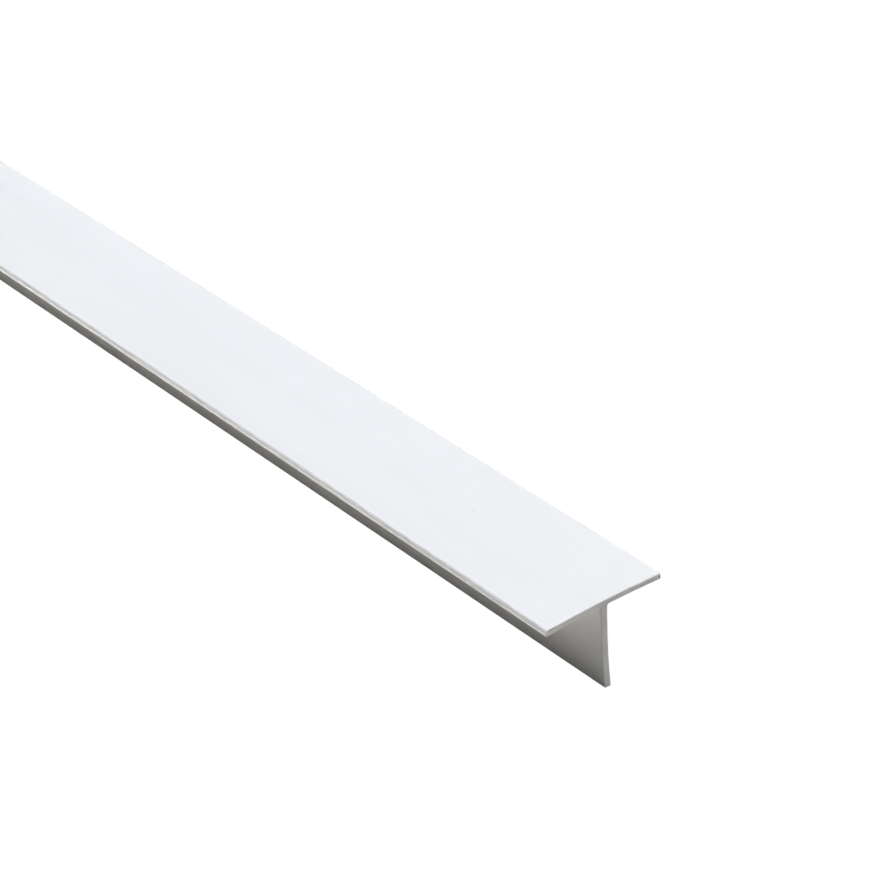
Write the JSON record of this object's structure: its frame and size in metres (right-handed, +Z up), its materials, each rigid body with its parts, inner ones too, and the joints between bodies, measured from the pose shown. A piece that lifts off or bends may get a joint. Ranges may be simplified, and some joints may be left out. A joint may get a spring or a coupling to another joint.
{
  "type": "pvc tee profile",
  "caption": "White rigid PVC tee section, a straight extruded length with a wide thin flange and a shorter central web, for covering and joining board edges.",
  "frame": {"origin": "on the floor, under the middle of the bounding box of the stock as it lies", "axes": "+X along the stock, towards the sawn end that the picture shows; +Z up from the floor; the flange's outer face looks up and towards +Y, and the web's tip rests on the floor towards -Y"},
  "size_m": [1, 0.0214, 0.0211],
  "materials": {
    "rigid_pvc_white": "extruded skin, satin white, with matt sawn ends"
  },
  "bodies": {
    "root": {"tee_profile": "rigid_pvc_white"}
  },
  "joints": []
}
